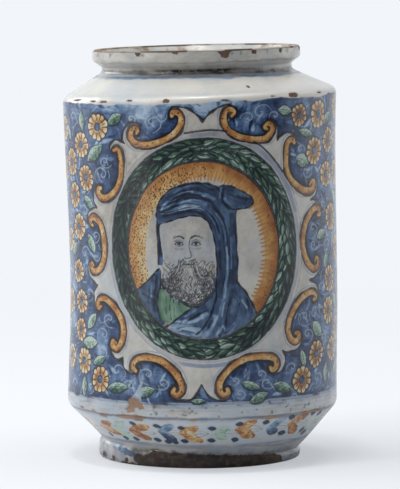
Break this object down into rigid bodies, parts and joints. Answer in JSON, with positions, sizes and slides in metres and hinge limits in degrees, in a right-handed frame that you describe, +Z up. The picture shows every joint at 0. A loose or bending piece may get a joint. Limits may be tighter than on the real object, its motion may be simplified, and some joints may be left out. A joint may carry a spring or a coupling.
{
  "type": "albarello",
  "caption": "Tall waisted ceramic drug jar with a turned foot, sloping shoulder and short flared neck, tin-glazed and painted blue, orange and green outside, glazed inside.",
  "frame": {"origin": "on the surface that the jar stands on, under the middle of its foot", "axes": "+Z up along the jar's axis of throwing, -Y towards the painted front, +X to the viewer's right"},
  "size_m": [0.1878, 0.1866, 0.2817],
  "materials": {
    "fired_clay": "unglazed fired clay, matt, buff to brown",
    "painted_glaze": "white tin glaze painted in blue, orange, yellow, green and brown, glossy",
    "inside_glaze": "plain greyish white glaze, glossy"
  },
  "bodies": {
    "root": {"clay_body": "fired_clay", "outer_glaze": "painted_glaze", "inner_glaze": "inside_glaze"}
  },
  "joints": []
}
